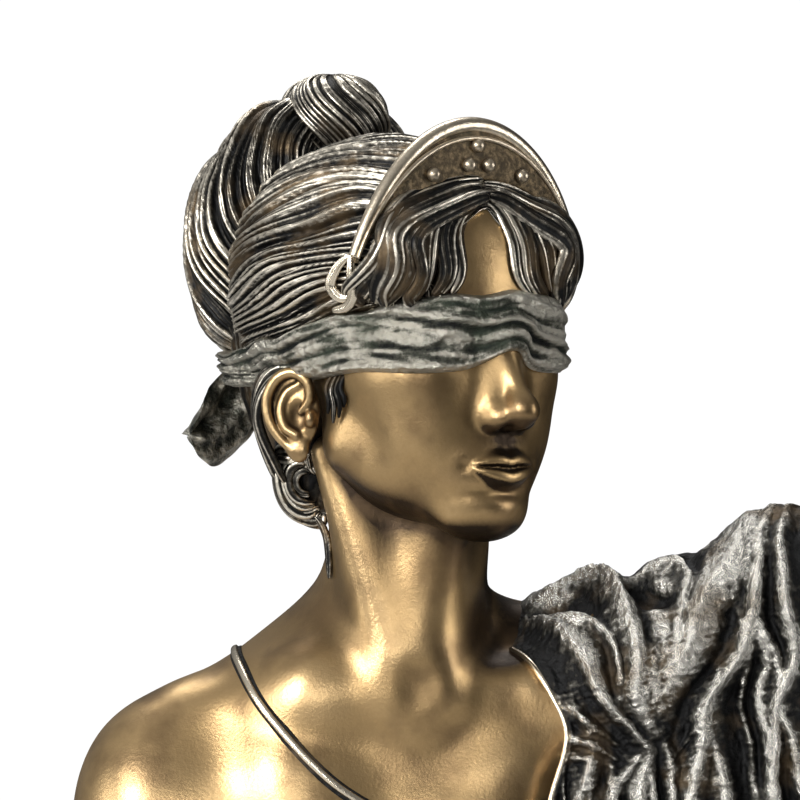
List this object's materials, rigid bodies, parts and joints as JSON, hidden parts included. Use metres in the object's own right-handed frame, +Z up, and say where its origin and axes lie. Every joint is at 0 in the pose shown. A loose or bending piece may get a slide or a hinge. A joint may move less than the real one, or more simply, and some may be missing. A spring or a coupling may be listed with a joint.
{
  "type": "bust statuette",
  "caption": "Small bronze-toned bust of blindfolded Justice with diadem and swept hair, head turned, one arm lifted under draped cloth, cut flat below.",
  "frame": {"origin": "on the flat underside, below the middle of the chest and near the ear axis of the head", "axes": "+Z up, the chest faces -Y, the lifted arm points to +X, the bare shoulder is at -X"},
  "size_m": [0.0851, 0.0468, 0.0978],
  "materials": {
    "bronze": "cold-cast bronze: satin golden skin, hair and cloth dark in the hollows with grey and gold rubbed edges and a trace of green"
  },
  "bodies": {
    "root": {"justice_bust": "bronze"}
  },
  "joints": []
}
